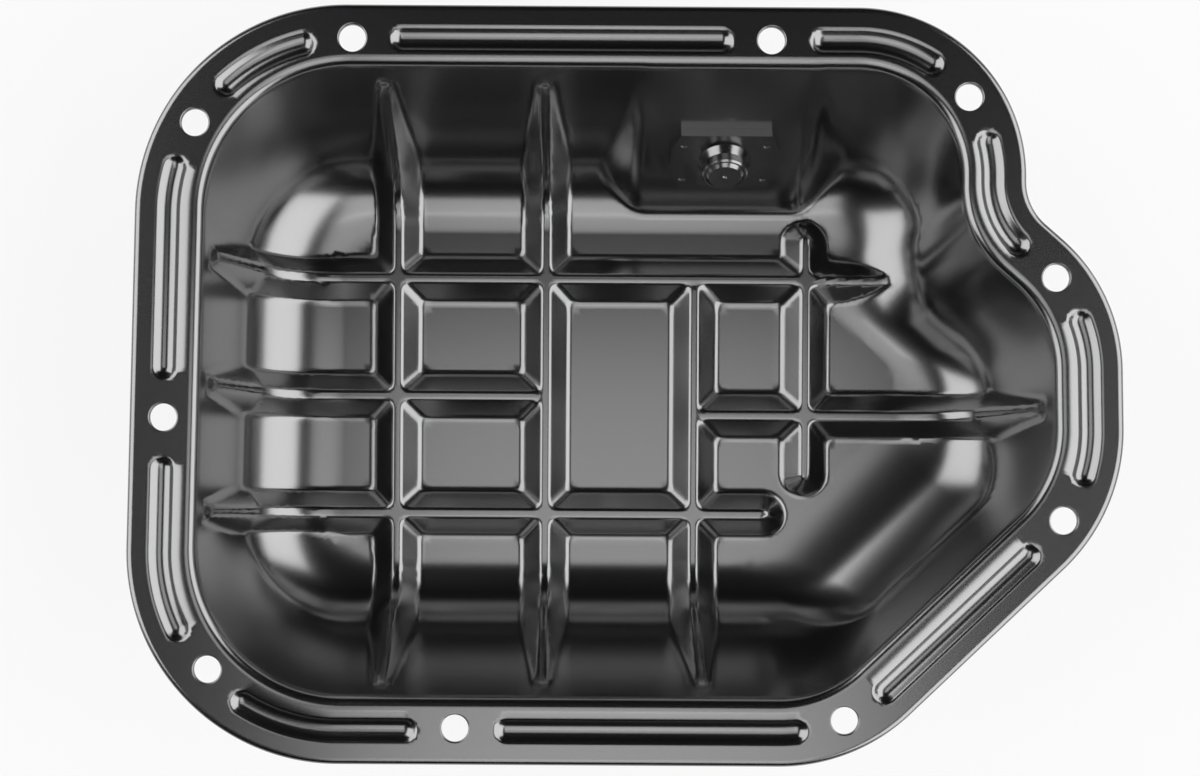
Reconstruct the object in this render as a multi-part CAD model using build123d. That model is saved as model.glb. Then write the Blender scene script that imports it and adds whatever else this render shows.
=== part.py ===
from build123d import *
import math
import os

# Deep-drawn steel lower oil pan with a grooved bolt flange, a ribbed floor and a welded drain boss.
# Millimetres. The origin is under the middle of the flange, at the level of the floor's underside.
# The sealing face looks up (+Z), the long way of the pan is X, and the drain is in the +Y wall.

# Sheet and depth
sheet = 1.6
inside_depth = 62.0

# Flange plan
pan_length = 292.8
pan_width = 223.2
neck_inset = 29.0
neck_drop = 58.3
shoulder_angle = 49.0
cut_start = 78.4
cut_angle = -46.3
left_lean = 1.1
left_inset = 1.0
right_lean = 1.2
right_inset = 0.2
neck_straight = 1.4
step_radius = 16.3
shoulder_share = 0.8075
nose_share = 0.863
cut_radius = 55.9
round_radius = 62.1
edge_roll = 1.1

# Walls: width of flange beside each side, slope and bottom radius of the wall under it
land_top = 17.4
land_neck = 18.6
land_right = 19.6
land_cut = 20.4
land_bottom = 19.3
land_left = 20.0
long_slope = 69.0
end_slope = 79.0
step_slope = 76.0
long_bottom_radius = 24.0
neck_bottom_radius = 30.0
end_bottom_radius = 22.0
mouth_neck_straight = 2.6
mouth_step_radius = 33.5
mouth_shoulder_radius = 34.0
mouth_nose_radius = 36.0
mouth_cut_radius = 34.0
mouth_round_radius = 43.5
floor_neck_radius = 9.0
floor_step_radius = 22.0
floor_nose_radius = 12.0
floor_cut_radius = 18.0
floor_round_radius = 22.0
bend_radius = 3.6

# Bolt holes and sealing grooves along the bolt line
bolt_hole = 8.0
bolt_inset = 10.0
bolt_inset_right = 9.5
bolt_inset_bottom = 10.8
bolt_left_top = 80.8
bolt_right_top = 42.3
bolt_bottom = 49.5
bolt_left = 12.6
bolt_angle_neck = 35.5
bolt_angle_shoulder = 40.7
bolt_angle_nose = -34.3
bolt_angle_cut = -65.4
bolt_angle_lower = -137.8
bolt_angle_upper = 148.7
groove_inset = 10.2
groove_width = 6.6
groove_depth = 1.7
groove_gap = 11.2

# Floor ribs, raised to the inside
rib_height = 5.5
rib_foot = 14.6
rib_crest = 2.6
rib_round = 1.8
rib_sink = 6.0
rib_stop = 8.5
rib_root = 3.0
bay_length = 48.0
bay_width = 38.0
last_bay = 36.0
link_rib_y = -5.5
first_rib_x = -72.3
first_rib_y = 38.4
island_top = 51.0
island_bottom = -24.2
stub_end = 46.2

# Drain pad pressed flat into the +Y wall
pad_x = 31.3
pad_width = 53.0
pad_slope = 60.5
pad_top = 8.0
pad_side_angle = 32.0
pad_corner = 12.0
drain_depth = 36.5
drain_hole = 16.0

# Welded nut plate, drain plug and washer
plate_width = 33.7
plate_height = 24.0
plate_thick = 3.0
plate_cut_wide = 2.9
plate_cut_high = 6.9
collar_foot = 16.4
collar_foot_height = 2.5
collar_diameter = 14.2
collar_height = 5.5
spigot_clearance = 0.1
thread_diameter = 12.0
thread_clearance = 0.05
weld_pitch_x = 25.5
weld_pitch_y = 15.7
weld_diameter = 3.0
weld_height = 0.4
plug_reach = 0.8
plug_chamfer = 1.0
plug_dimple = 2.0
head_across_flats = 17.0
head_height = 8.0
head_flange = 24.0
head_flange_thick = 2.5
washer_diameter = 21.0
washer_thick = 1.5
washer_clearance = 0.2
seat_gap = 0.02

# Derived levels and counts
face_z = sheet + inside_depth
SIDE_COUNT = 7
BOWL_STEPS = 7
CONCAVE_CORNER = 1
TINY = 1e-3


def unit(angle):
    """Direction in the plan at an angle from +X"""
    return Vector(math.cos(math.radians(angle)), math.sin(math.radians(angle)))


def meeting(first, second):
    """Point where two sides cross, each given by its outward normal's angle and its distance"""
    n1 = unit(first[0])
    n2 = unit(second[0])
    det = n1.X * n2.Y - n2.X * n1.Y
    x = (first[1] * n2.Y - second[1] * n1.Y) / det
    y = (n1.X * second[1] - n2.X * first[1]) / det
    return Vector(x, y)


def through(angle, point):
    """Side with a given outward normal that passes through a point"""
    return (angle, unit(angle).dot(point))


def rounded(sides, radii):
    """Closed chain of straight edges and arcs, and the centres of the arcs"""
    corners = [meeting(side, sides[(k + 1) % SIDE_COUNT]) for k, side in enumerate(sides)]
    arcs = []
    for k, corner in enumerate(corners):
        way_in = (corner - corners[k - 1]).normalized()
        way_out = (corners[(k + 1) % SIDE_COUNT] - corner).normalized()
        half_turn = way_in.get_angle(way_out) / 2
        setback = radii[k] * math.tan(math.radians(half_turn))
        inward = (way_out - way_in).normalized()
        centre = corner + inward * (radii[k] / math.cos(math.radians(half_turn)))
        arcs.append((corner - way_in * setback, centre - inward * radii[k], corner + way_out * setback, centre))
    edges = []
    for k, (start, middle, end, centre) in enumerate(arcs):
        edges.append(Edge.make_line(arcs[k - 1][2], start))
        edges.append(Edge.make_three_point_arc(start, middle, end))
    return edges, [arc[3] for arc in arcs]


# The sides of the flange, clockwise from the top: top, neck, shoulder, right, cut, bottom, left
top_side = (90.0, pan_width / 2)
neck_side = (0.0, pan_length / 2 - neck_inset)
shoulder_side = through(shoulder_angle, Vector(neck_side[1], pan_width / 2 - neck_drop))
right_side = (right_lean, pan_length / 2 - right_inset)
cut_side = through(cut_angle, Vector(pan_length / 2 - cut_start, -pan_width / 2))
bottom_side = (-90.0, pan_width / 2)
left_side = (180.0 - left_lean, pan_length / 2 - left_inset)
FLANGE = [top_side, neck_side, shoulder_side, right_side, cut_side, bottom_side, left_side]

# The neck corner takes up the neck side but for a short straight; the two right corners share the right side
half_step = math.radians(shoulder_angle) / 2
neck_radius = neck_drop - step_radius * math.tan(half_step) - neck_straight
right_run = (meeting(shoulder_side, right_side) - meeting(right_side, cut_side)).length
shoulder_radius = shoulder_share * right_run
nose_radius = nose_share * right_run
FLANGE_RADII = [neck_radius, step_radius, shoulder_radius, nose_radius, cut_radius, round_radius, round_radius]
LANDS = [land_top, land_neck, land_neck, land_right, land_cut, land_bottom, land_left]
SLOPES = [long_slope, step_slope, step_slope, end_slope, step_slope, long_slope, end_slope]
BOTTOM_RADII = [
    long_bottom_radius, neck_bottom_radius, end_bottom_radius, end_bottom_radius,
    end_bottom_radius, long_bottom_radius, end_bottom_radius,
]
mouth = [(side[0], side[1] - land) for side, land in zip(FLANGE, LANDS)]
mouth_neck_run = (meeting(mouth[0], mouth[1]) - meeting(mouth[1], mouth[2])).length
mouth_neck_radius = mouth_neck_run - mouth_step_radius * math.tan(half_step) - mouth_neck_straight
MOUTH_RADII = [
    mouth_neck_radius, mouth_step_radius, mouth_shoulder_radius, mouth_nose_radius,
    mouth_cut_radius, mouth_round_radius, mouth_round_radius,
]
FLOOR_RADII = [
    floor_neck_radius, floor_step_radius, floor_nose_radius, floor_nose_radius,
    floor_cut_radius, floor_round_radius, floor_round_radius,
]


def inset_line(inset):
    """The flange's outline moved inward, as a chain of edges, and its arc centres"""
    sides = [(angle, distance - inset) for angle, distance in FLANGE]
    radii = [r + inset if k == CONCAVE_CORNER else r - inset for k, r in enumerate(FLANGE_RADII)]
    return rounded(sides, radii)


# ---------------------------------------------------------------- drawn cavity

def floor_reach(k):
    """Distance of the flat floor's edge on side k"""
    slope = math.radians(SLOPES[k])
    radius = BOTTOM_RADII[k]
    arc_rise = radius * (1 - math.cos(slope))
    run = (inside_depth - arc_rise) / math.tan(slope) + radius * math.sin(slope)
    return FLANGE[k][1] - LANDS[k] - run


def reach(k, z, skin):
    """Distance of the wall on side k at height z, and how far its normal leans to the side"""
    slope = math.radians(SLOPES[k])
    radius = BOTTOM_RADII[k] + skin
    rise = z - (sheet - skin)
    arc_rise = radius * (1 - math.cos(slope))
    if rise < arc_rise:
        across = math.sqrt(max(radius**2 - (radius - rise) ** 2, 0.0))
        return floor_reach(k) + across, across / radius
    beyond = (rise - arc_rise) / math.tan(slope)
    return floor_reach(k) + radius * math.sin(slope) + beyond, math.sin(slope)


def corner_radius(k, z, skin):
    """Plan radius between side k and the next at height z"""
    shares = []
    leans = []
    for side in (k, (k + 1) % SIDE_COUNT):
        distance, lean = reach(side, z, skin)
        start = floor_reach(side)
        mouth = FLANGE[side][1] - LANDS[side]
        shares.append((distance - skin * lean - start) / (mouth - start))
        leans.append(lean)
    growth = skin * sum(leans) / 2
    radius = FLOOR_RADII[k] + (MOUTH_RADII[k] - FLOOR_RADII[k]) * sum(shares) / 2
    return radius - growth if k == CONCAVE_CORNER else radius + growth


def cavity_section(z, skin):
    """Outline of the drawn cavity at height z, moved outward by the skin"""
    sides = [(side[0], reach(k, z, skin)[0]) for k, side in enumerate(FLANGE)]
    radii = [corner_radius(k, z, skin) for k in range(SIDE_COUNT)]
    edges = rounded(sides, radii)[0]
    return Wire(edges).moved(Location((0, 0, z)))


def drawn_body(skin):
    """Solid inside the wall's surface: skin 0 is the inner surface, skin = sheet the outer one"""
    floor_z = sheet - skin
    ends = [(r + skin) * (1 - math.cos(math.radians(slope))) for r, slope in zip(BOTTOM_RADII, SLOPES)]
    straight_from = max(ends)
    radius = long_bottom_radius + skin
    full_turn = math.acos(1 - straight_from / radius)
    rises = [radius * (1 - math.cos(full_turn * part / BOWL_STEPS)) for part in range(BOWL_STEPS + 1)]
    bowl = Solid.make_loft([cavity_section(floor_z + rise, skin) for rise in rises])
    wall = Solid.make_loft([cavity_section(z, skin) for z in (floor_z + straight_from, face_z)], ruled=True)
    return Part() + bowl + wall


# ---------------------------------------------------------------- ribs

flank = math.degrees(math.atan2(rib_height, (rib_foot - rib_crest) / 2))


def rib_profile(skin, half=False):
    """Cross-section of a rib: across in X, height above the surface in Y"""
    shift = skin * math.tan(math.radians(flank) / 2)
    foot = rib_foot / 2 - shift
    crest = rib_crest / 2 - shift
    base = foot + rib_root / math.tan(math.radians(flank))
    round_off = rib_round - skin
    outline = Polyline((-base, -rib_root), (base, -rib_root), (crest, rib_height), (-crest, rib_height), close=True)
    profile = make_face(outline)
    profile = fillet(profile.vertices().group_by(Axis.Y)[-1], round_off)
    if half:
        profile = profile & Pos(base / 2, 0) * Rectangle(base, 4 * rib_height)
    return profile


def straight_rib(start, end, skin):
    """Rib along the floor from one plan point to another"""
    way = (end - start).normalized()
    place = Plane(start + Vector(0, 0, sheet - skin), x_dir=way.cross(Vector(0, 0, 1)) * -1, z_dir=way)
    return extrude(place * rib_profile(skin), (end - start).length)


def round_end(point, skin):
    """Conical end of a rib about an upright axis"""
    place = Plane(point + Vector(0, 0, sheet - skin), x_dir=(1, 0, 0), z_dir=(0, -1, 0))
    return revolve(place * rib_profile(skin, half=True), Axis(point, (0, 0, 1)))


def climbing_rib(k, station, skin):
    """Rib's run up the wall of side k, station measured along the side to the left of its normal"""
    normal = unit(FLANGE[k][0])
    way = normal if SLOPES[k] == long_slope else Vector(round(normal.X), 0)
    left = Vector(-way.Y, way.X)
    set_back = normal.dot(left) * station
    foot_point = way * (floor_reach(k) - set_back) + left * station
    base = foot_point + Vector(0, 0, sheet - skin)
    radius = BOTTOM_RADII[k] + skin
    climb = SLOPES[k] - rib_sink
    profile = Plane(base, x_dir=left, z_dir=way) * rib_profile(skin)
    centre = base + Vector(0, 0, radius)
    bend = revolve(profile, Axis(centre, left * -1), climb)
    upward = way * math.cos(math.radians(climb)) + Vector(0, 0, math.sin(math.radians(climb)))
    inward = way * -math.sin(math.radians(climb)) + Vector(0, 0, math.cos(math.radians(climb)))
    wall_start = centre - inward * radius
    wall_profile = Plane(wall_start, x_dir=left, z_dir=upward) * rib_profile(skin)
    run = extrude(wall_profile, inside_depth)
    # The rib ends in a hip as steep as its flanks, a little below the flange
    stop_z = face_z - rib_stop
    stop_reach = reach(k, stop_z, 0.0)[0] - set_back
    lean = math.radians(SLOPES[k] + 90.0 - flank)
    hip_normal = way * math.cos(lean) + Vector(0, 0, math.sin(lean))
    stop_point = way * stop_reach + left * station + Vector(0, 0, stop_z) - hip_normal * skin
    beyond = Plane(stop_point, x_dir=left, z_dir=hip_normal) * Box(
        3 * rib_foot, 6 * inside_depth, 3 * inside_depth, align=(Align.CENTER, Align.CENTER, Align.MIN)
    )
    return (bend + run) - beyond


def rib_network(skin):
    """All ribs of the floor and walls as one solid"""
    second_x = first_rib_x + bay_length
    third_x = second_x + bay_length
    island_x = third_x + last_bay
    second_y = first_rib_y - bay_width
    third_y = second_y - bay_width
    left_edge = -floor_reach(6)
    right_edge = floor_reach(3)
    top_edge = floor_reach(0)
    bottom_edge = -floor_reach(5)
    ribs = []
    for x in (first_rib_x, second_x):
        ribs.append(straight_rib(Vector(x, bottom_edge), Vector(x, top_edge), skin))
        ribs.append(climbing_rib(0, -x, skin))
        ribs.append(climbing_rib(5, x, skin))
    ribs.append(straight_rib(Vector(third_x, bottom_edge), Vector(third_x, first_rib_y), skin))
    ribs.append(climbing_rib(5, third_x, skin))
    ribs.append(straight_rib(Vector(left_edge, first_rib_y), Vector(right_edge, first_rib_y), skin))
    ribs.append(straight_rib(Vector(left_edge, second_y), Vector(second_x, second_y), skin))
    ribs.append(straight_rib(Vector(left_edge, third_y), Vector(stub_end, third_y), skin))
    ribs.append(round_end(Vector(stub_end, third_y), skin))
    for y in (first_rib_y, second_y, third_y):
        ribs.append(climbing_rib(6, -y, skin))
    ribs.append(straight_rib(Vector(third_x, link_rib_y), Vector(right_edge, link_rib_y), skin))
    ribs.append(climbing_rib(3, link_rib_y, skin))
    ribs.append(straight_rib(Vector(island_x, island_bottom), Vector(island_x, island_top), skin))
    ribs.append(round_end(Vector(island_x, island_bottom), skin))
    ribs.append(round_end(Vector(island_x, island_top), skin))
    return ribs


# ---------------------------------------------------------------- drain pad

def pad_plane(skin):
    """Plane of the drain pad, its origin where the drain's axis crosses it, X along the pad, Z inward"""
    slope = math.radians(pad_slope)
    inward = Vector(0, -math.sin(slope), math.cos(slope))
    top_z = face_z - pad_top
    top_y = reach(0, top_z, 0.0)[0]
    drain_z = face_z - drain_depth
    drain_y = top_y - (top_z - drain_z) / math.tan(slope)
    origin = Vector(pad_x, drain_y, drain_z) - inward * skin
    return Plane(origin, x_dir=(1, 0, 0), z_dir=inward)


def pad_wedge(skin):
    """What the pad takes away from the drawn body: everything behind its plane, with flared sides"""
    width = pad_width - 2 * skin * math.tan(math.radians(pad_side_angle) / 2)
    depth = 2 * drain_depth
    flare = depth / math.tan(math.radians(pad_side_angle))
    front = pad_plane(skin) * Rectangle(width, 4 * drain_depth)
    back = pad_plane(skin + depth) * Rectangle(width + 2 * flare, 4 * drain_depth)
    wedge = loft([front, back], ruled=True)
    edges = wedge.edges().filter_by(lambda e: abs(e.length - 4 * drain_depth) < TINY)
    near = [e for e in edges if pad_plane(skin).to_local_coords(e.center()).Z > -TINY]
    return fillet(near, pad_corner - skin)


# ---------------------------------------------------------------- flange

def bolt_points():
    """Centres of the bolt holes, clockwise from the left one on the top side"""
    centres = inset_line(0.0)[1]

    def on_side(k, station, inset):
        normal = unit(FLANGE[k][0])
        along = Vector(normal.Y, -normal.X)
        return normal * (FLANGE[k][1] - inset) + along * station

    def on_corner(k, angle, inset):
        return centres[k] + unit(angle) * (FLANGE_RADII[k] - inset)

    return [
        on_side(0, -bolt_left_top, bolt_inset),
        on_side(0, bolt_right_top, bolt_inset),
        on_corner(0, bolt_angle_neck, bolt_inset_right),
        on_corner(2, bolt_angle_shoulder, bolt_inset_right),
        on_corner(3, bolt_angle_nose, bolt_inset_right),
        on_corner(4, bolt_angle_cut, bolt_inset_right),
        on_side(5, bolt_bottom, bolt_inset_bottom),
        on_corner(5, bolt_angle_lower, bolt_inset_bottom),
        on_side(6, -bolt_left, bolt_inset),
        on_corner(6, bolt_angle_upper, bolt_inset),
    ]


def station_of(edges, point):
    """Length along a chain of edges to the place nearest a point"""
    nearest_gap = math.inf
    nearest_station = 0.0
    done = 0.0
    for edge in edges:
        gap, place, _ = edge.distance_to_with_closest_points(point)
        if gap < nearest_gap - TINY:
            nearest_gap = gap
            nearest_station = done + edge.param_at_point(place) * edge.length
        done += edge.length
    return nearest_station


def stretch(edges, start, end):
    """The part of a chain of edges between two lengths along it"""
    pieces = []
    done = 0.0
    for edge in edges:
        low = max(start - done, 0.0)
        high = min(end - done, edge.length)
        if high - low > TINY:
            pieces.append(edge.trim(low / edge.length, high / edge.length))
        done += edge.length
    return Wire(pieces)


def groove_paths():
    """Centre lines of the sealing grooves, one between each bolt hole and the next"""
    edges = inset_line(groove_inset)[0]
    lap = sum(edge.length for edge in edges)
    stations = [station_of(edges, point) for point in bolt_points()]
    margin = groove_gap + groove_width / 2
    paths = []
    for k, station in enumerate(stations):
        following = stations[(k + 1) % len(stations)]
        if following < station:
            following += lap
        paths.append(stretch(edges + edges, station + margin, following - margin))
    return paths


def groove_tools(skin):
    """Round-ended bars along the grooves: their undersides are the groove's surface"""
    half = groove_width / 2
    section_radius = (half**2 + groove_depth**2) / (2 * groove_depth)
    lift = section_radius - groove_depth
    radius = section_radius + skin
    bars = []
    for path in groove_paths():
        raised = path.moved(Location((0, 0, face_z + lift)))
        start = Plane(raised @ 0, z_dir=raised % 0)
        bars.append(sweep(start * Circle(radius), path=raised))
        bars.extend(Pos(*(raised @ end)) * Sphere(radius) for end in (0, 1))
    return bars


def groove_ridges():
    """The sheet pushed out under the grooves"""
    below = Pos(0, 0, inside_depth) * Box(
        pan_length, pan_width, 4 * groove_depth, align=(Align.CENTER, Align.CENTER, Align.MAX)
    )
    return [bar & below for bar in groove_tools(sheet)]


def bolt_cutters():
    """Clearance holes for the flange bolts"""
    return [Pos(*point) * Cylinder(bolt_hole / 2, 3 * face_z) for point in bolt_points()]


def make_pan():
    """The stamping: flange plate, drawn body, ribs, pad, grooves and holes"""
    outer = Part() + drawn_body(sheet) - pad_wedge(sheet) - rib_network(sheet)
    inner = Part() + drawn_body(0.0) - pad_wedge(0.0) - rib_network(0.0)
    flange = Part() + extrude(make_face(inset_line(0.0)[0]), sheet)
    flange = Pos(0, 0, inside_depth) * flange
    flange = fillet(flange.edges().group_by(Axis.Z)[-1], edge_roll)
    pan = flange + outer
    under = [w for f in pan.faces() if abs(f.center().Z - inside_depth) < TINY for w in f.inner_wires()]
    pan = fillet(under[0].edges(), bend_radius - sheet)
    pan = pan - inner
    over = [w for f in pan.faces() if abs(f.center().Z - face_z) < TINY for w in f.inner_wires()]
    pan = fillet(over[0].edges(), bend_radius)
    pan = pan + groove_ridges()
    pan = pan - groove_tools(0.0) - bolt_cutters()
    drain = pad_plane(0.0) * Cylinder(drain_hole / 2, 6 * sheet)
    return pan - drain


# ---------------------------------------------------------------- drain pieces, along the pad's normal

def make_nut_plate():
    """Weld plate with its threaded collar inside and a locating spigot in the pan's hole"""
    right, top = plate_width / 2, plate_height / 2
    corner = [(right, top - plate_cut_high), (right - plate_cut_wide, top)]
    upper = corner + [(-x, y) for x, y in reversed(corner)]
    outline = upper + [(-x, -y) for x, y in upper]
    plate = extrude(Polygon(*outline, align=None), plate_thick)
    collar = Cylinder(collar_diameter / 2, plate_thick + collar_height, align=(Align.CENTER, Align.CENTER, Align.MIN))
    collar = chamfer(collar.edges().group_by(Axis.Z)[-1], plug_chamfer / 2)
    flare = Pos(0, 0, plate_thick) * Cone(
        collar_foot / 2, collar_diameter / 2, collar_foot_height, align=(Align.CENTER, Align.CENTER, Align.MIN)
    )
    collar = collar + flare
    spigot_length = sheet - spigot_clearance
    spigot_radius = drain_hole / 2 - spigot_clearance
    spigot = Pos(0, 0, -spigot_length) * Cylinder(
        spigot_radius, 2 * spigot_length, align=(Align.CENTER, Align.CENTER, Align.MIN)
    )
    nut = plate + collar + spigot
    for x in (-weld_pitch_x / 2, weld_pitch_x / 2):
        for y in (-weld_pitch_y / 2, weld_pitch_y / 2):
            mark = Pos(x, y, plate_thick) * Cylinder(weld_diameter / 2, 2 * weld_height)
            nut = nut - mark
    bore_radius = thread_diameter / 2 + thread_clearance
    nut = nut - Cylinder(bore_radius, 4 * plate_height)
    return pad_plane(0.0) * (Pos(0, 0, seat_gap) * nut)


def make_washer():
    """Crush washer against the pan's outside"""
    ring = Cylinder(washer_diameter / 2, washer_thick) - Cylinder(
        thread_diameter / 2 + washer_clearance, 2 * washer_thick
    )
    return pad_plane(sheet) * (Pos(0, 0, -washer_thick / 2 - seat_gap) * ring)


def make_plug():
    """Flanged hex plug, its shank through washer, pan and nut plate, its end showing in the collar"""
    seat = -sheet - washer_thick - 2 * seat_gap
    tip = plate_thick + collar_height + plug_reach
    shank = Pos(0, 0, seat) * Cylinder(
        thread_diameter / 2, tip - seat, align=(Align.CENTER, Align.CENTER, Align.MIN)
    )
    shank = chamfer(shank.edges().group_by(Axis.Z)[-1], plug_chamfer)
    shank = shank - Pos(0, 0, tip) * Sphere(plug_dimple / 2)
    collar = Pos(0, 0, seat) * Cylinder(head_flange / 2, head_flange_thick, align=(Align.CENTER, Align.CENTER, Align.MAX))
    hexagon = RegularPolygon(head_across_flats / 2, 6, major_radius=False)
    head = Pos(0, 0, seat) * extrude(hexagon, -head_height - head_flange_thick)
    crown = Pos(0, 0, seat - head_height - head_flange_thick) * Cone(
        head_across_flats / 2, head_across_flats / 2 + 2 * head_height, 2 * head_height,
        align=(Align.CENTER, Align.CENTER, Align.MIN),
    )
    return pad_plane(0.0) * (shank + collar + (head & crown))


os.makedirs("parts", exist_ok=True)
export_step(make_pan(), "parts/pan.step")
export_step(make_nut_plate(), "parts/drain_nut_plate.step")
export_step(make_washer(), "parts/plug_gasket.step")
export_step(make_plug(), "parts/drain_plug.step")
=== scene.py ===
import math

import bpy
import numpy as np
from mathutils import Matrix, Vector
from mathutils.geometry import delaunay_2d_cdt


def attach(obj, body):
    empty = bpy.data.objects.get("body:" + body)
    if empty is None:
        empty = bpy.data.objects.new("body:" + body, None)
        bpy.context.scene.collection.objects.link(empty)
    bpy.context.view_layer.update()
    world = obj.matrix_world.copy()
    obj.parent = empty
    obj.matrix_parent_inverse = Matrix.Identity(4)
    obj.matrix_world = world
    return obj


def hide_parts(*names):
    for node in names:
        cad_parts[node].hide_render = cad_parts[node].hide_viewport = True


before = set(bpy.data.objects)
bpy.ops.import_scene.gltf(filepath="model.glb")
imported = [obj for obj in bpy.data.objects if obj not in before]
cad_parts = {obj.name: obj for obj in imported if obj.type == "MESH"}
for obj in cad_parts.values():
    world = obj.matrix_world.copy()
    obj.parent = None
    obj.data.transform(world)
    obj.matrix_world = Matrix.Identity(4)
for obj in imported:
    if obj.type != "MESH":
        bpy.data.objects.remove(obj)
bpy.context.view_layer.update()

MM = 0.001

# ------------------------------------------------------------------ sizes, in millimetres
SHEET = 1.6
INSIDE_DEPTH = 62.0
FACE_Z = SHEET + INSIDE_DEPTH
PAN_LENGTH = 292.8
PAN_WIDTH = 223.2
NECK_INSET = 29.0
NECK_DROP = 58.3
CUT_START = 78.4
RIGHT_INSET = 0.2
LEFT_INSET = 1.0
BEND = 3.6
BEND_ANGLE = 74.0
ROLL_ACROSS = 1.9
ROLL_DOWN = 1.2
HOLE_ROLL = 0.5

NECK_X = PAN_LENGTH / 2 - NECK_INSET
STEP_CORNER = (NECK_X, PAN_WIDTH / 2 - NECK_DROP)
CUT_CORNER = (PAN_LENGTH / 2 - CUT_START, -PAN_WIDTH / 2)

# One value for each side, clockwise from the top; a corner radius lies between a side and the next
SIDES = 7
TOP, NECK, SHOULDER, RIGHT, CUT, BOTTOM, LEFT = range(SIDES)
SIDE_ANGLES = [90.0, 0.0, 49.0, 1.2, -46.3, -90.0, 178.9]
LANDS = [17.4, 18.6, 18.6, 19.6, 20.4, 19.3, 20.0]
SLOPES = [69.0, 76.0, 76.0, 79.0, 76.0, 69.0, 79.0]
BOTTOM_RADII = [24.0, 30.0, 22.0, 22.0, 22.0, 24.0, 22.0]
FLANGE_RADII = [49.5, 16.3, 52.4, 56.0, 55.9, 62.1, 62.1]
MOUTH_RADII = [31.5, 33.5, 34.0, 36.0, 34.0, 43.5, 43.5]
FLOOR_RADII = [9.0, 22.0, 12.0, 12.0, 18.0, 22.0, 22.0]
# Bottom radius that stands for all the sides where one value is enough, and the steepest lean it gives
MEAN_BOTTOM = 23.0
STEEPEST = 75.0

# Softer section that only shades four of the walls: three arcs, and the plan width beyond the second
TOE_ANGLE, FOOT_ANGLE, HEEL_RADIUS = 14.0, 46.0, 8.0
LEAST_SLOPE, MOST_SLOPE = 56.0, 89.5
TOE_RADII = {NECK: 60.0, RIGHT: 60.0, CUT: 80.0, LEFT: 45.0}
FOOT_RADII = {NECK: 28.0, RIGHT: 26.0, CUT: 30.0, LEFT: 31.0}
WALL_REST = {NECK: 9.0, RIGHT: 10.9, CUT: 7.8, LEFT: 8.9}

BOLT_HOLE = 8.0
BOLT_INSET = 10.0
BOLT_INSET_RIGHT = 9.5
BOLT_INSET_BOTTOM = 10.8
GROOVE_INSET = 10.2
GROOVE_WIDTH = 6.6
GROOVE_DEPTH = 1.7
GROOVE_GAP = 11.2
GROOVE_SOFT = 0.8
GROOVE_STEP = 0.5
GROOVE_REACH = 7.0

RIB_HEIGHT = 5.5
RIB_FOOT = 14.6
RIB_CREST = 2.6
RIB_ROUND = 1.8
RIB_SINK = 6.0
RIB_STOP = 8.5
RIB_X = [-72.3, -24.3, 23.7, 59.7]
RIB_Y = [38.4, 0.4, -37.6]
LINK_Y = -5.5
ISLAND = (-24.2, 51.0)
STUB_END = 46.2
CROSSING_SOFT = 2.2
JOIN_SHORT = 4.0
ROOT_SOFT = 1.0
HIP_ROUND = 1.6
HIP_ANGLE = 80.0

PAD_X = 31.3
PAD_WIDTH = 53.0
PAD_SLOPE = 60.5
PAD_TOP = 8.0
PAD_SIDE_ANGLE = 32.0
PAD_CORNER = 12.0
PAD_SOFT = 2.0
DRAIN_DEPTH = 36.5
DRAIN_HOLE = 16.0

# Distance that stands for nowhere near, steps that halve a search, and the step that finds a slope
FAR = 99.0
HALVINGS = 22
SLOPE_STEP = 0.05

# Spacing of the pan's mesh
BORDER_STEP = 1.2
TOP_SPACING = 1.1
UNDER_SPACING = 1.8
HOLE_POINTS = 40
FLANGE_RINGS = [3.4, 4.6, 5.8, 6.5, 7.2, 8.0, 8.8, 9.5, 10.2, 10.9, 11.6, 12.4, 13.2, 13.9]
BEND_RINGS = [2.9, 2.3, 1.7, 1.2, 0.7, 0.2, -0.3, -0.8, -1.3]
WALL_TOP, WALL_FOOT, WALL_STEP = 5.0, 17.0, 3.0
ARC_TOP, ARC_FOOT, ARC_STEP = 70.0, 6.0, 4.0
FLOOR_X, FLOOR_Y = (-100.0, 100.0), (-56.0, 58.0)
FINE, COARSE, FINE_MARGIN = 0.7, 2.0, 1.5
FLOOR_CLEAR = 0.6
LOOP_CLEAR = 0.4


# ------------------------------------------------------------------ plan outlines
def unit(angle):
    a = math.radians(angle)
    return np.array([math.cos(a), math.sin(a)])


NORMALS = [unit(a) for a in SIDE_ANGLES]
FLANGE = [
    PAN_WIDTH / 2,
    NECK_X,
    float(NORMALS[SHOULDER] @ np.array(STEP_CORNER)),
    PAN_LENGTH / 2 - RIGHT_INSET,
    float(NORMALS[CUT] @ np.array(CUT_CORNER)),
    PAN_WIDTH / 2,
    PAN_LENGTH / 2 - LEFT_INSET,
]


def rounded_max(a, b, angle, radius):
    """Distance outside two half-spaces whose normals are an angle apart, with their edge rounded"""
    c, s2 = math.cos(angle), math.sin(angle) ** 2
    a1, b1 = a + radius, b + radius
    alpha = (a1 - b1 * c) / s2
    beta = (b1 - a1 * c) / s2
    inside = (alpha > 0) & (beta > 0)
    arc = np.sqrt(np.maximum(alpha**2 + beta**2 + 2 * alpha * beta * c, 0.0)) - radius
    return np.where(inside, arc, np.maximum(a, b))


def soft_min(a, b, width):
    """Smaller of two distances, with the edge between them blended"""
    return np.minimum(a, b) - np.maximum(width - np.abs(a - b), 0.0) ** 2 / (4 * width)


def turn(k):
    """Angle between a side and the next, in radians"""
    return math.acos(float(np.clip(NORMALS[k] @ NORMALS[(k + 1) % SIDES], -1, 1)))


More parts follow.
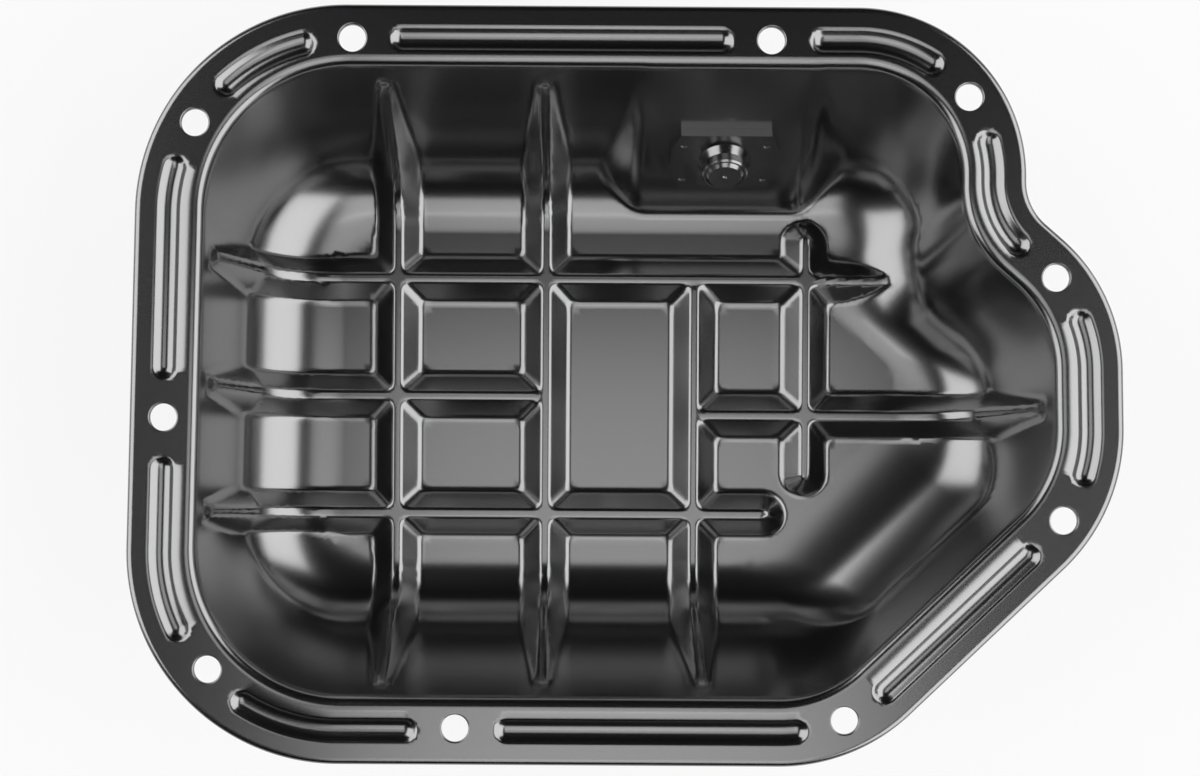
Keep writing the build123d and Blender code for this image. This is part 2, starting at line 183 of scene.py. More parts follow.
def plan_distance(x, y, reach, radii):
    """Distance outside the seven-sided outline with rounded corners"""
    d = [NORMALS[k][0] * x + NORMALS[k][1] * y - reach[k] for k in range(SIDES)]
    step = -rounded_max(-d[NECK], -d[SHOULDER], turn(NECK), radii[NECK])
    d[NECK] = d[SHOULDER] = step
    out = rounded_max(d[TOP], step, turn(TOP), radii[TOP])
    for k in (SHOULDER, RIGHT, CUT, BOTTOM, LEFT):
        out = np.maximum(out, rounded_max(d[k], d[(k + 1) % SIDES], turn(k), radii[k]))
    return out


def flange_distance(x, y):
    """Distance outside the flange's edge"""
    return plan_distance(x, y, FLANGE, FLANGE_RADII)


def corner_centre(k, reach, radii):
    """Centre and radius of the arc that rounds the corner after side k; a hollow has a negative radius"""
    r = -radii[k] if k == NECK else radii[k]
    pair = np.array([NORMALS[k], NORMALS[(k + 1) % SIDES]])
    return np.linalg.solve(pair, np.array([reach[k], reach[(k + 1) % SIDES]]) - r), r


# ------------------------------------------------------------------ the drawn surface
def section(arcs):
    """Arcs given as (radius, end angle) from the floor up, as (centre, radius, end angle, end point)"""
    found, at, last = [], np.array([0.0, 0.0]), 0.0
    for radius, degrees in arcs:
        end = math.radians(degrees)
        centre = at + radius * np.array([-math.sin(last), math.cos(last)])
        at = centre + radius * np.array([math.sin(end), -math.cos(end)])
        found.append((centre, radius, end, at))
        last = end
    return found


def section_run(arcs):
    """Plan width of a section with the straight wall above its last arc"""
    _centre, _radius, end, at = arcs[-1]
    return float(at[0] + (INSIDE_DEPTH - at[1]) / math.tan(end))


def soft_section(k):
    """Section whose last arc turns until the wall above it ends at the mouth"""
    first = [(TOE_RADII[k], TOE_ANGLE), (FOOT_RADII[k], FOOT_ANGLE)]
    wanted = section(first)[-1][3][0] + WALL_REST[k]
    low, high = LEAST_SLOPE, MOST_SLOPE
    for _ in range(HALVINGS):
        slope = (low + high) / 2
        arcs = section(first + [(HEEL_RADIUS, slope)])
        low, high = (slope, high) if section_run(arcs) > wanted else (low, slope)
    return arcs


PLAIN = [section([(r, a)]) for r, a in zip(BOTTOM_RADII, SLOPES)]
SOFT = [soft_section(k) if k in TOE_RADII else PLAIN[k] for k in range(SIDES)]


def floor_edge(form, k):
    """Distance of the flat floor's edge on side k"""
    return FLANGE[k] - LANDS[k] - section_run(form[k])


FLOOR_REACH = [floor_edge(PLAIN, k) for k in range(SIDES)]


def wall_reach(form, k, z):
    """Distance of the wall on side k at height z"""
    rise = np.maximum(z - SHEET, 0.0)
    _centre, _radius, end, top = form[k][-1]
    out = top[0] + (rise - top[1]) / math.tan(end)
    for centre, radius, end, top in reversed(form[k]):
        arc = centre[0] + np.sqrt(np.maximum(radius**2 - (centre[1] - rise) ** 2, 0.0))
        out = np.where(rise < top[1], arc, out)
    return floor_edge(form, k) + out


def wall_outline(form, z, grow=0.0):
    """Side distances and corner radii of the wall's outline at height z"""
    reach = [wall_reach(form, k, z) for k in range(SIDES)]
    share = [(reach[k] - floor_edge(form, k)) / section_run(form[k]) for k in range(SIDES)]
    radii = [
        FLOOR_RADII[k] + (MOUTH_RADII[k] - FLOOR_RADII[k]) * (share[k] + share[(k + 1) % SIDES]) / 2
        for k in range(SIDES)
    ]
    reach = [r + grow for r in reach]
    radii = [r - grow if k == NECK else r + grow for k, r in enumerate(radii)]
    return reach, radii


def wall_distance(form, x, y, z):
    """Distance above the plain drawn surface"""
    plan = plan_distance(x, y, *wall_outline(form, z))
    rise = np.clip(z - SHEET, 0, None)
    lean = np.arccos(np.clip(1 - rise / MEAN_BOTTOM, math.cos(math.radians(STEEPEST)), 1))
    return np.minimum(z - SHEET, -plan * np.sin(lean))


# ------------------------------------------------------------------ ribs
FLANK = math.atan2(RIB_HEIGHT, (RIB_FOOT - RIB_CREST) / 2)

# Each rib: the axis it runs along, where it stands across, and its two ends. An end is
# ("climb", side) where it runs up a wall and ("stop", place) where it ends on the floor.
RIBS = [
    ("y", RIB_X[0], ("climb", BOTTOM), ("climb", TOP)),
    ("y", RIB_X[1], ("climb", BOTTOM), ("climb", TOP)),
    ("y", RIB_X[2], ("climb", BOTTOM), ("stop", RIB_Y[0] - JOIN_SHORT)),
    ("y", RIB_X[3], ("stop", ISLAND[0]), ("stop", ISLAND[1])),
    ("x", RIB_Y[0], ("climb", LEFT), ("stop", FLOOR_REACH[RIGHT])),
    ("x", RIB_Y[1], ("climb", LEFT), ("stop", RIB_X[1] - JOIN_SHORT)),
    ("x", RIB_Y[2], ("climb", LEFT), ("stop", STUB_END)),
    ("x", LINK_Y, ("stop", RIB_X[2] + JOIN_SHORT), ("climb", RIGHT)),
]


def climb_height(form, k, s, z):
    """Height above the floor, the bottom arcs and the line a rib climbs on side k"""
    s, h = s - floor_edge(form, k), z - SHEET
    out, past = h, s > 0
    for centre, radius, end, top in form[k]:
        if top is form[k][-1][3]:
            end = end - math.radians(RIB_SINK)
            top = centre + radius * np.array([math.sin(end), -math.cos(end)])
        out = np.where(past, radius - np.hypot(s - centre[0], h - centre[1]), out)
        past = (s - top[0]) * math.cos(end) + (h - top[1]) * math.sin(end) > 0
    return np.where(past, (h - top[1]) * math.cos(end) - (s - top[0]) * math.sin(end), out)


def hip_distance(form, k, s, z):
    """Distance beyond the hip that ends a rib below the flange on side k"""
    stop_z = FACE_Z - RIB_STOP
    lean = form[k][-1][2] + math.radians(90.0) - FLANK
    return (s - wall_reach(form, k, stop_z)) * math.cos(lean) + (z - stop_z) * math.sin(lean)


def rib_distance(form, x, y, z):
    """Distance above the network of ribs"""
    flank = np.full_like(x, FAR)
    height = z - SHEET
    hip = np.full_like(x, -FAR)
    for axis, place, low, high in RIBS:
        across, along = (x - place, y) if axis == "y" else (y - place, x)
        v, end, over = z - SHEET, -FAR, 0.0
        for sign, (kind, limit) in ((-1, low), (1, high)):
            if kind == "stop":
                over = np.maximum(over, (along - limit) * sign)
                continue
            s = NORMALS[limit][0] * x + NORMALS[limit][1] * y
            v = np.where(along * sign > 0, climb_height(form, limit, s, z), v)
            end = np.maximum(end, np.where(s > FLOOR_REACH[limit], hip_distance(form, limit, s, z), -FAR))
        f = (np.hypot(across, over) - RIB_FOOT / 2) * math.sin(FLANK) + v * math.cos(FLANK)
        nearer = f < flank
        height = np.where(nearer, v, height)
        hip = np.where(nearer, end, hip)
        flank = soft_min(flank, f, CROSSING_SOFT)
    out = rounded_max(height - RIB_HEIGHT, flank, FLANK, RIB_ROUND)
    return rounded_max(out, hip, math.radians(HIP_ANGLE), HIP_ROUND)


def drain_frame():
    """The drain pad's plane: its origin on the drain's axis, its inward normal and its uphill direction"""
    a = math.radians(PAD_SLOPE)
    top_z, drain_z = FACE_Z - PAD_TOP, FACE_Z - DRAIN_DEPTH
    y = float(wall_reach(PLAIN, TOP, np.array(top_z))) - (top_z - drain_z) / math.tan(a)
    origin = np.array([PAD_X, y, drain_z])
    return origin, np.array([0, -math.sin(a), math.cos(a)]), np.array([0, math.cos(a), math.sin(a)])


DRAIN_ORIGIN, DRAIN_IN, DRAIN_UP = drain_frame()


def pad_distance(x, y, z):
    """Distance above the drain pad and its sides"""
    front = (y - DRAIN_ORIGIN[1]) * DRAIN_IN[1] + (z - DRAIN_ORIGIN[2]) * DRAIN_IN[2]
    a = math.radians(PAD_SIDE_ANGLE)
    side = (np.abs(x - PAD_X) - PAD_WIDTH / 2) * math.sin(a) + front * math.cos(a)
    return rounded_max(front, side, a, PAD_CORNER)


# ------------------------------------------------------------------ grooves and bolt holes
def bolt_points():
    """Centres of the bolt holes, clockwise from the top left"""

    def side(k, station, inset=BOLT_INSET):
        n = NORMALS[k]
        return n * (FLANGE[k] - inset) + np.array([n[1], -n[0]]) * station

    def corner(k, angle, inset=BOLT_INSET):
        return corner_centre(k, FLANGE, FLANGE_RADII)[0] + unit(angle) * (FLANGE_RADII[k] - inset)

    return [
        side(TOP, station=-80.8),
        side(TOP, station=42.3),
        corner(TOP, angle=35.5, inset=BOLT_INSET_RIGHT),
        corner(SHOULDER, angle=40.7, inset=BOLT_INSET_RIGHT),
        corner(RIGHT, angle=-34.3, inset=BOLT_INSET_RIGHT),
        corner(CUT, angle=-65.4, inset=BOLT_INSET_RIGHT),
        side(BOTTOM, station=49.5, inset=BOLT_INSET_BOTTOM),
        corner(BOTTOM, angle=-137.8, inset=BOLT_INSET_BOTTOM),
        side(LEFT, station=-12.6),
        corner(LEFT, angle=148.7),
    ]


def straight_points(start, stop):
    """Points between two others, about a groove step apart"""
    n = int(np.linalg.norm(stop - start) / GROOVE_STEP)
    return [start + (stop - start) * (i + 1) / (n + 1) for i in range(n)]


def groove_line():
    """Points along the grooves' line, clockwise from the top left"""
    pts = []
    for k in range(SIDES):
        centre, r = corner_centre(k, FLANGE, FLANGE_RADII)
        r = abs(r - GROOVE_INSET)
        a0, a1 = SIDE_ANGLES[k], SIDE_ANGLES[(k + 1) % SIDES]
        if k == BOTTOM:
            a1 -= 360.0
        if k == NECK:
            a0, a1 = a0 + 180.0, a1 + 180.0
        steps = max(int(abs(math.radians(a1 - a0)) * r / GROOVE_STEP), 2)
        arc = [centre + unit(a0 + (a1 - a0) * i / steps) * r for i in range(steps + 1)]
        if pts:
            pts += straight_points(pts[-1], arc[0])
        pts += arc
    return np.array(pts + straight_points(pts[-1], pts[0]))


def groove_spans():
    """Points along the grooves' line, whether each lies in a groove, and the grooves' end points"""
    line = groove_line()
    step = np.linalg.norm(np.roll(line, -1, 0) - line, axis=1)
    station = np.r_[0, np.cumsum(step)[:-1]]
    lap = step.sum()
    holes = sorted(float(station[np.argmin(np.linalg.norm(line - h, axis=1))]) for h in BOLTS)
    margin = GROOVE_GAP + GROOVE_WIDTH / 2
    inside = np.zeros(len(line), bool)
    for a, b in zip(holes, holes[1:] + [holes[0] + lap]):
        for shift in (0, lap):
            inside |= (station + shift > a + margin) & (station + shift < b - margin)
    ends = inside & ~(np.roll(inside, 1) & np.roll(inside, -1))
    return line, inside, line[ends]


BOLTS = bolt_points()
GROOVE_LINE, IN_GROOVE, GROOVE_ENDS = groove_spans()


def nearest(points, x, y):
    """Index of the point nearest each x and y"""
    found = []
    for start in range(0, len(x), 2000):
        px, py = x[start : start + 2000, None], y[start : start + 2000, None]
        found.append(np.hypot(px - points[:, 0], py - points[:, 1]).argmin(1))
    return np.concatenate(found) if found else np.zeros(0, int)


def nearest_groove(x, y):
    """Plan distance to the nearest groove's centre line, exact across it"""
    away = np.full(len(x), FAR)
    across = np.abs(flange_distance(x, y) + GROOVE_INSET)
    near = np.where(across < GROOVE_REACH)[0]
    px, py = x[near], y[near]
    beside = IN_GROOVE[nearest(GROOVE_LINE, px, py)]
    end = GROOVE_ENDS[nearest(GROOVE_ENDS, px, py)]
    away[near] = np.where(beside, across[near], np.hypot(px - end[:, 0], py - end[:, 1]))
    return away


# Radius of the round bar that presses a groove
GROOVE_BAR = ((GROOVE_WIDTH / 2) ** 2 + GROOVE_DEPTH**2) / (2 * GROOVE_DEPTH)


def surface(form, x, y, z, groove):
    """Distance above the pan's inner and upper surface"""
    d = wall_distance(form, x, y, z)
    d = soft_min(d, pad_distance(x, y, z), PAD_SOFT)
    d = soft_min(d, rib_distance(form, x, y, z), ROOT_SOFT)
    d = rounded_max(z - FACE_Z, d, math.radians(BEND_ANGLE), BEND)
    bar = GROOVE_BAR - np.hypot(groove, z - (FACE_Z + GROOVE_BAR - GROOVE_DEPTH))
    return -soft_min(-d, -bar, GROOVE_SOFT)


def solve_height(form, x, y, groove):
    """Height of the surface over each plan point"""
    low = np.full_like(x, SHEET - 1.0)
    high = np.full_like(x, FACE_Z + 1.0)
    for _ in range(HALVINGS):
        mid = (low + high) / 2
        above = surface(form, x, y, mid, groove) > 0
        high = np.where(above, mid, high)
        low = np.where(above, low, mid)
    return (low + high) / 2


def surface_normals(form, x, y, z, groove):
    """Unit normals of the surface, from small steps each way"""
    e = SLOPE_STEP
    gx = (nearest_groove(x + e, y), nearest_groove(x - e, y))
    gy = (nearest_groove(x, y + e), nearest_groove(x, y - e))
    n = np.stack(
        [
            surface(form, x + e, y, z, gx[0]) - surface(form, x - e, y, z, gx[1]),
            surface(form, x, y + e, z, gy[0]) - surface(form, x, y - e, z, gy[1]),
            surface(form, x, y, z + e, groove) - surface(form, x, y, z - e, groove),
        ],
        -1,
    )
    return n / np.linalg.norm(n, axis=-1, keepdims=True)


# ------------------------------------------------------------------ plan points
def outline_loop(reach, radii, spacing):
    """Points round a seven-sided outline with rounded corners, clockwise, and their outward normals"""
    arcs = [corner_centre(k, reach, radii) for k in range(SIDES)]
    points, normals = [], []
    for k, (centre, r) in enumerate(arcs):
        sweep = turn(k) if k == NECK else -turn(k)
        steps = max(math.ceil(abs(sweep * r) / spacing), 3)
        for i in range(steps):
            n = unit(SIDE_ANGLES[k] + math.degrees(sweep) * i / steps)
            points.append(centre + n * r)
            normals.append(n)
        n = NORMALS[(k + 1) % SIDES]
        following, next_r = arcs[(k + 1) % SIDES]
        start, stop = centre + n * r, following + n * next_r
        steps = max(math.ceil(np.linalg.norm(stop - start) / spacing), 1)
        points += [start + (stop - start) * i / steps for i in range(steps)]
        normals += [n] * steps
    return np.array(points), np.array(normals)


def circle_loop(centre, radius, count):
    """Points round a circle"""
    a = np.arange(count) * 2 * math.pi / count
    return np.stack([centre[0] + radius * np.cos(a), centre[1] + radius * np.sin(a)], 1)


# ------------------------------------------------------------------ the pan's mesh
def fine_and_coarse(low, high, centres, reach, fine, coarse):
    """Grid stations, close together near the given centres"""
    stations = [low]
    while stations[-1] < high:
        near = min(abs(stations[-1] - c) for c in centres) < reach
        stations.append(stations[-1] + (fine if near else coarse))
    return np.array(stations)


def plan_points(spacing, rings):
    """Plan points along the flange, the bend, the walls and the floor, close together on the ribs"""
    border, outward = outline_loop(FLANGE, FLANGE_RADII, spacing)
    loops = [border - outward * inset for inset in FLANGE_RINGS[::rings]]
    loops += [outline_loop(*wall_outline(PLAIN, FACE_Z, grow), spacing)[0] for grow in BEND_RINGS[::rings]]
    levels = np.arange(FACE_Z - WALL_TOP, SHEET + WALL_FOOT, -WALL_STEP * rings)
    loops += [outline_loop(*wall_outline(PLAIN, z), spacing)[0] for z in levels]
    turns = np.radians(np.arange(ARC_TOP, ARC_FOOT, -ARC_STEP * rings))
    rises = [MEAN_BOTTOM * (1 - math.cos(a)) for a in turns]
    loops += [outline_loop(*wall_outline(PLAIN, SHEET + rise), spacing)[0] for rise in rises]
    beside = RIB_FOOT / 2 + FINE_MARGIN
    xs = fine_and_coarse(*FLOOR_X, RIB_X, beside, FINE * rings, COARSE * rings)
    ys = fine_and_coarse(*FLOOR_Y, RIB_Y + [LINK_Y], beside, FINE * rings, COARSE * rings)
    gx, gy = (g.ravel() for g in np.meshgrid(xs, ys))
    inside = plan_distance(gx, gy, *wall_outline(PLAIN, SHEET + 0.1)) < -FLOOR_CLEAR
    return np.concatenate(loops + [np.stack([gx[inside], gy[inside]], 1)])


def triangulate(points, loops, outline_inset, hole_radius):
    """Plan triangles between the border loop and the holes' loops"""
    keep = flange_distance(points[:, 0], points[:, 1]) < -outline_inset - LOOP_CLEAR
    for bolt in BOLTS:
        keep &= np.hypot(points[:, 0] - bolt[0], points[:, 1] - bolt[1]) > hole_radius + LOOP_CLEAR
    keep &= drain_distance(points[:, 0], points[:, 1]) > LOOP_CLEAR
    coords = [Vector(p) for p in points[keep]]
    edges = []
    for loop in loops:
        first = len(coords)
        coords += [Vector(p) for p in loop]
        edges += [(first + i, first + (i + 1) % len(loop)) for i in range(len(loop))]
    verts, _, faces, _, _, _ = delaunay_2d_cdt(coords, edges, [], 0, 1e-6, False)
    verts = np.array([v[:] for v in verts])
    tris = np.array([f for f in faces if len(f) == 3])
    cx, cy = verts[tris].mean(1).T
    good = flange_distance(cx, cy) < -outline_inset
    for bolt in BOLTS:
        good &= np.hypot(cx - bolt[0], cy - bolt[1]) > hole_radius
    good &= drain_distance(cx, cy) > 0
    return verts, tris[good]


def drain_distance(x, y):
    """Plan distance outside the drain hole, measured along the pad"""
    up = (y - DRAIN_ORIGIN[1]) / DRAIN_UP[1]
    return np.hypot(x - DRAIN_ORIGIN[0], up) - DRAIN_HOLE / 2


def drain_loop(count):
    """Plan points round the drain hole"""
    a = np.arange(count) * 2 * math.pi / count
    across, up = DRAIN_HOLE / 2 * np.cos(a), DRAIN_HOLE / 2 * np.sin(a)
    return np.stack([DRAIN_ORIGIN[0] + across, DRAIN_ORIGIN[1] + up * DRAIN_UP[1]], 1)


def sheet_face(form, spacing, rings, outline_inset, hole_radius):
    """Points on the inner surface over a plan triangulation, shaded by a form's normals"""
    border, outward = outline_loop(FLANGE, FLANGE_RADII, BORDER_STEP)
    loops = [border - outward * outline_inset]
    loops += [circle_loop(b, hole_radius, HOLE_POINTS) for b in BOLTS]
    loops.append(drain_loop(HOLE_POINTS))
    verts, tris = triangulate(plan_points(spacing, rings), loops, outline_inset, hole_radius)
    x, y = verts[:, 0], verts[:, 1]
    groove = nearest_groove(x, y)
    z = solve_height(PLAIN, x, y, groove)
    shaded = z if form is PLAIN else solve_height(form, x, y, groove)
    return np.stack([x, y, z], 1), surface_normals(form, x, y, shaded, groove), tris


def strip(base, outward, steps):
    """Band of triangles round a closed loop. Each step is (inset, z, outward share, upward share)"""
    count = len(base)
    verts, normals = [], []
    for inset, z, out, up in steps:
        verts.append(np.c_[base - outward * inset, np.full(count, z)])
        n = np.c_[outward * out, np.full(count, up)]
        normals.append(n / np.linalg.norm(n, axis=1, keepdims=True))
    tris = []
    i = np.arange(count)
    j = (i + 1) % count
    for row in range(len(steps) - 1):
        a, b = row * count, (row + 1) * count
        tris += [np.c_[a + i, a + j, b + j], np.c_[a + i, b + j, b + i]]
    return np.concatenate(verts), np.concatenate(normals), np.concatenate(tris)


def rolled_edge(base, outward, across, down):
    """Rounded upper edge of the flange or of a hole, and the cut wall under it"""
    turns = np.radians(np.linspace(0, 90, 7))
    roll = [
        (across * (1 - out), FACE_Z - down * (1 - up), out / across, up / down)
        for out, up in zip(np.sin(turns).tolist(), np.cos(turns).tolist())
    ]
    wall = [(0.0, FACE_Z - down, 1.0, 0.0), (0.0, FACE_Z - SHEET, 1.0, 0.0)]
    return [strip(base, outward, roll), strip(base, outward, wall)]


def drain_wall():
    """Cut wall of the drain hole"""
    plan = drain_loop(HOLE_POINTS)
    run = (plan[:, 1] - DRAIN_ORIGIN[1]) / DRAIN_UP[1]
    top = DRAIN_ORIGIN + np.outer(plan[:, 0] - DRAIN_ORIGIN[0], [1, 0, 0]) + np.outer(run, DRAIN_UP)
    n = (DRAIN_ORIGIN - top) / (DRAIN_HOLE / 2)
    verts = np.concatenate([top, top - SHEET * DRAIN_IN])
    i = np.arange(HOLE_POINTS)
    j = (i + 1) % HOLE_POINTS
    tris = np.concatenate([np.c_[i, j, j + HOLE_POINTS], np.c_[i, j + HOLE_POINTS, i + HOLE_POINTS]])
    return verts, np.concatenate([n, n]), tris


def mesh_object(name, pieces, material, weld=0.002):
    """One mesh from pieces of (vertices, normals, triangles) in millimetres, welded where they meet"""
    verts = np.concatenate([p[0] for p in pieces])
    normals = np.concatenate([p[1] for p in pieces])
    starts = np.cumsum([0] + [len(p[0]) for p in pieces[:-1]])
    tris = np.concatenate([p[2] + s for p, s in zip(pieces, starts)])
    _keys, places, joined = np.unique(
        np.round(verts / weld).astype(np.int64), axis=0, return_index=True, return_inverse=True
    )
    joined = joined.reshape(-1)
    welded = joined[tris]
    whole = (welded[:, 0] != welded[:, 1]) & (welded[:, 1] != welded[:, 2]) & (welded[:, 2] != welded[:, 0])
    tris, welded = tris[whole], welded[whole]
    points = verts[places]
    corner = normals[tris]
    face = np.cross(points[welded[:, 1]] - points[welded[:, 0]], points[welded[:, 2]] - points[welded[:, 0]])
    back = (face * corner.sum(1)).sum(1) < 0
    welded[back] = welded[back][:, ::-1]
    corner[back] = corner[back][:, ::-1]
    mesh = bpy.data.meshes.new(name)
    mesh.from_pydata((points * MM).tolist(), [], welded.tolist())
    mesh.polygons.foreach_set("use_smooth", np.ones(len(welded), bool))
    mesh.normals_split_custom_set(corner.reshape(-1, 3).tolist())
    mesh.materials.append(material)
    obj = bpy.data.objects.new(name, mesh)
    bpy.context.scene.collection.objects.link(obj)
    return obj


def make_pan(material):
    """The pan's sheet: its inner and outer faces, its rolled edge and the walls of its holes"""
    inner = sheet_face(SOFT, TOP_SPACING, 1, ROLL_ACROSS, BOLT_HOLE / 2 + HOLE_ROLL)
    under = sheet_face(PLAIN, UNDER_SPACING, 2, 0.0, BOLT_HOLE / 2)
    pieces = [inner, (under[0] - SHEET * under[1], -under[1], under[2]), drain_wall()]
    border, outward = outline_loop(FLANGE, FLANGE_RADII, BORDER_STEP)
    pieces += rolled_edge(border, outward, ROLL_ACROSS, ROLL_DOWN)
    for bolt in BOLTS:
        ring = circle_loop(bolt, BOLT_HOLE / 2, HOLE_POINTS)
        pieces += rolled_edge(ring, (bolt - ring) / (BOLT_HOLE / 2), HOLE_ROLL, HOLE_ROLL)
    return mesh_object("pan_shell", pieces, material)


# ------------------------------------------------------------------ materials
FINE_GRAIN = 1400.0
BROAD_GRAIN = 24.0
GRAIN_HEIGHT = 0.00003
GLOSS_SHARE = 0.1


def noise(tree, scale, place=None, detail=None):
    """Noise texture's value"""
    node = tree.nodes.new("ShaderNodeTexNoise")
    node.inputs["Scale"].default_value = scale
    if detail is not None:
        node.inputs["Detail"].default_value = detail
    if place is not None:
        tree.links.new(place, node.inputs["Vector"])
    return node.outputs["Fac"]


def spread(tree, value, low, high):
    """A value from 0 to 1 spread between two others"""
    node = tree.nodes.new("ShaderNodeMapRange")
    node.inputs["To Min"].default_value = low
    node.inputs["To Max"].default_value = high
    tree.links.new(value, node.inputs["Value"])
    return node.outputs["Result"]


def largest(tree, *values):
    """Largest of some values"""
    out = values[0]
    for value in values[1:]:
        node = tree.nodes.new("ShaderNodeMath")
        node.operation = "MAXIMUM"
        tree.links.new(out, node.inputs[0])
        tree.links.new(value, node.inputs[1])
        out = node.outputs["Value"]
    return out


def node_material(name, base, rough, metallic, ior, grain, bump):
    """Coated or plain metal with a fine grain in its colour and gloss"""
    mat = bpy.data.materials.new(name)
    mat.use_nodes = True
    tree = mat.node_tree
    nodes, links = tree.nodes, tree.links
    shader = nodes["Principled BSDF"]
    shader.inputs["Metallic"].default_value = metallic
    shader.inputs["IOR"].default_value = ior
    place = nodes.new("ShaderNodeTexCoord").outputs["Object"]
    fine = noise(tree, FINE_GRAIN, place, 3.0)
    broad = noise(tree, BROAD_GRAIN, place, 4.0)
    tint = nodes.new("ShaderNodeVectorMath")
    tint.operation = "SCALE"
    tint.inputs[0].default_value = base
    links.new(spread(tree, broad, 1.0 - grain, 1.0 + grain), tint.inputs["Scale"])
    links.new(tint.outputs["Vector"], shader.inputs["Base Color"])
    gloss = spread(tree, fine, rough - grain * GLOSS_SHARE, rough + grain * GLOSS_SHARE)
    links.new(gloss, shader.inputs["Roughness"])
    relief = nodes.new("ShaderNodeBump")
    relief.inputs["Strength"].default_value = bump
    relief.inputs["Distance"].default_value = GRAIN_HEIGHT
    links.new(fine, relief.inputs["Height"])
    links.new(relief.outputs["Normal"], shader.inputs["Normal"])
    return mat


# ------------------------------------------------------------------ stage, lamps and camera
def soft_light(name, place, aim, size, radiance):
    """Soft box of the given width and height in metres, looking at a point"""
    data = bpy.data.lights.new(name, "AREA")
    data.shape = "RECTANGLE"
    data.size, data.size_y = size
    data.energy = radiance * math.pi * size[0] * size[1]
    lamp = bpy.data.objects.new(name, data)
    bpy.context.scene.collection.objects.link(lamp)
    lamp.location = place
    lamp.rotation_euler = (Vector(aim) - Vector(place)).to_track_quat("-Z", "Y").to_euler()
    lamp.visible_camera = False


WHITE = (1.0, 1.0, 1.0, 1.0)
HORIZON_END, ZENITH_START = 0.02, 0.2


def make_world(horizon, zenith):
    """White behind the object, pale at the horizon and dark overhead"""
    world = bpy.data.worlds.new("studio")
    bpy.context.scene.world = world
    world.use_nodes = True
    tree = world.node_tree
    nodes, links = tree.nodes, tree.links
    back = nodes["Background"]
    back.inputs["Color"].default_value = WHITE
    axes = nodes.new("ShaderNodeSeparateXYZ")
    links.new(nodes.new("ShaderNodeTexCoord").outputs["Generated"], axes.inputs["Vector"])
    amount = nodes.new("ShaderNodeMapRange")
    amount.interpolation_type = "SMOOTHSTEP"
    amount.inputs["From Min"].default_value = HORIZON_END
    amount.inputs["From Max"].default_value = ZENITH_START
    amount.inputs["To Min"].default_value = horizon
    amount.inputs["To Max"].default_value = zenith
    links.new(axes.outputs["Z"], amount.inputs["Value"])
    rays = nodes.new("ShaderNodeLightPath")
    strength = largest(tree, rays.outputs["Is Camera Ray"], amount.outputs["Result"])
    links.new(strength, back.inputs["Strength"])


FLOOR_DROP = 0.0002
PAPER_SCALE = 60.0
PAPER_LOW, PAPER_HIGH = 0.86, 0.88


def make_floor(half, glow):
    """White sweep: a share of its white shows at an even level, the rest takes light and shadow"""
    mesh = bpy.data.meshes.new("floor")
    corners = [(-half, -half, 0), (half, -half, 0), (half, half, 0), (-half, half, 0)]
    mesh.from_pydata(corners, [], [(0, 1, 2, 3)])
    floor = bpy.data.objects.new("floor", mesh)
    bpy.context.scene.collection.objects.link(floor)
    floor.location.z = -FLOOR_DROP
    mat = bpy.data.materials.new("floor_paper")
    mat.use_nodes = True
    tree = mat.node_tree
    nodes, links = tree.nodes, tree.links
    shader = nodes["Principled BSDF"]
    shader.inputs["Roughness"].default_value = 0.9
    level = spread(tree, noise(tree, PAPER_SCALE), PAPER_LOW, PAPER_HIGH)
    links.new(level, shader.inputs["Base Color"])
    rays = nodes.new("ShaderNodeLightPath").outputs
    shown = largest(tree, rays["Is Camera Ray"], rays["Is Glossy Ray"], rays["Is Transmission Ray"])
    share = nodes.new("ShaderNodeMath")
    share.operation = "MULTIPLY"
    share.inputs[1].default_value = glow
    links.new(shown, share.inputs[0])
    white = nodes.new("ShaderNodeEmission")
    white.inputs["Color"].default_value = WHITE
    white.inputs["Strength"].default_value = 1.0
    both = nodes.new("ShaderNodeMixShader")
    links.new(share.outputs["Value"], both.inputs["Fac"])
    links.new(shader.outputs["BSDF"], both.inputs[1])
    links.new(white.outputs["Emission"], both.inputs[2])
    links.new(both.outputs["Shader"], nodes["Material Output"].inputs["Surface"])
    mesh.materials.append(mat)


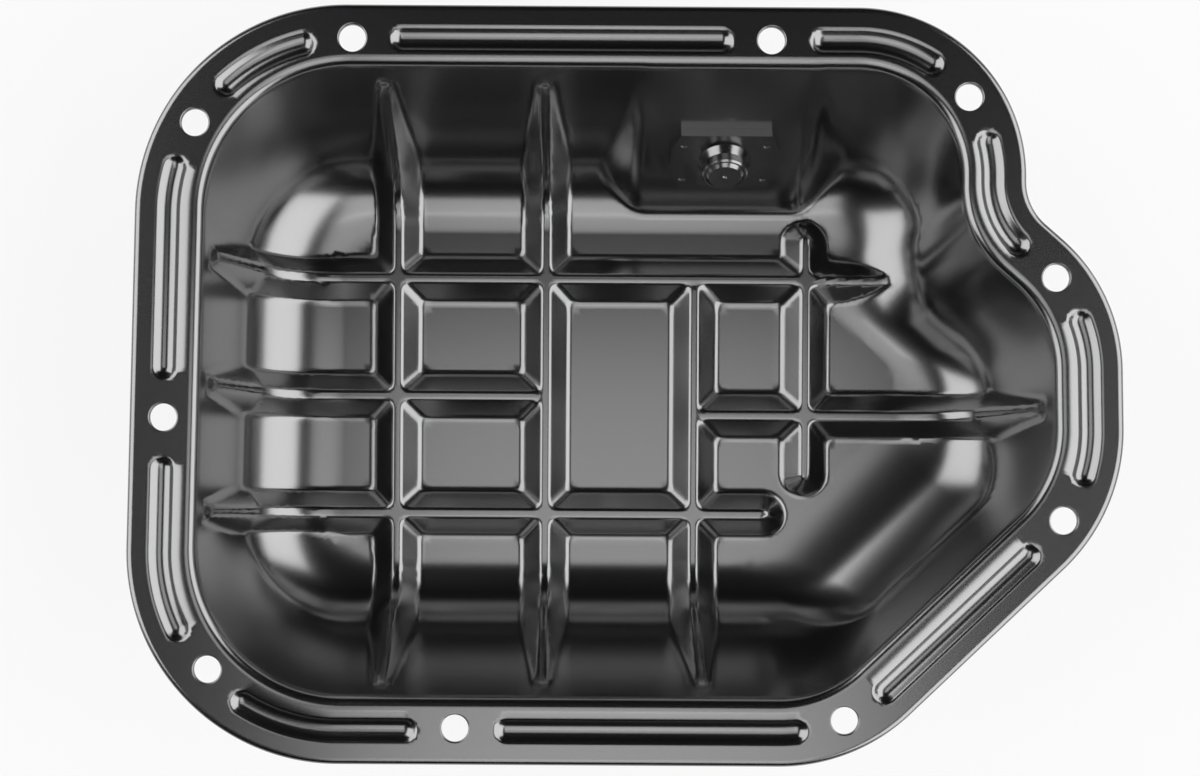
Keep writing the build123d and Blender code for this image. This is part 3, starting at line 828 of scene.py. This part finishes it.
CAMERA_PLACE = (-0.015, -0.037, 0.6136)
CAMERA_TURN = 0.35
CAMERA_LENS = 56.27
CAMERA_SHIFT = (0.022, 0.103)


def make_camera():
    """Camera nearly straight above the pan"""
    data = bpy.data.cameras.new("camera")
    data.lens = CAMERA_LENS
    data.sensor_width = 36.0
    data.shift_x, data.shift_y = CAMERA_SHIFT
    data.clip_start = 0.01
    camera = bpy.data.objects.new("camera", data)
    camera.location = CAMERA_PLACE
    camera.rotation_euler = (0.0, 0.0, math.radians(CAMERA_TURN))
    bpy.context.scene.collection.objects.link(camera)
    bpy.context.scene.camera = camera


# ------------------------------------------------------------------ the scene
COAT_GLOSS = dict(rough=0.21, metallic=0.0, ior=3.0, grain=0.25, bump=0.15)
coat = node_material("black_coat", (0.0018, 0.0018, 0.0019), **COAT_GLOSS)
plug_coat = node_material("plug_coat", (0.0024, 0.0024, 0.0025), **COAT_GLOSS)
washer_metal = node_material(
    "washer_aluminium", (0.62, 0.62, 0.63), rough=0.4, metallic=1.0, ior=1.5, grain=0.1, bump=0.1
)

pan = make_pan(coat)
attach(pan, "pan")
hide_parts("pan")

EDGE_BEVEL = 0.0002
for node, material in (("drain_nut_plate", coat), ("drain_plug", plug_coat), ("plug_gasket", washer_metal)):
    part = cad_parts[node]
    part.data.materials.clear()
    part.data.materials.append(material)
    bevel = part.modifiers.new("edge", "BEVEL")
    bevel.width = EDGE_BEVEL
    bevel.segments = 2
    bevel.limit_method = "ANGLE"

make_floor(half=20.0, glow=0.85)
make_world(horizon=1.0, zenith=0.003)
soft_light("overhead", place=(0.03, -0.16, 1.5), aim=(0.03, -0.16, 0), size=(0.62, 0.68), radiance=1.1)
soft_light("front", place=(0.03, -0.76, 1.4), aim=(0.03, 0, 0), size=(0.66, 0.74), radiance=1.4)
soft_light("right", place=(1.2, -0.18, 1.05), aim=(0, 0, 0.03), size=(2.8, 1.3), radiance=2.5)
soft_light("left", place=(-1.2, 0.28, 1.05), aim=(0, 0.05, 0.03), size=(1.8, 1.3), radiance=2.3)
make_camera()

bpy.context.scene.view_settings.view_transform = "Standard"
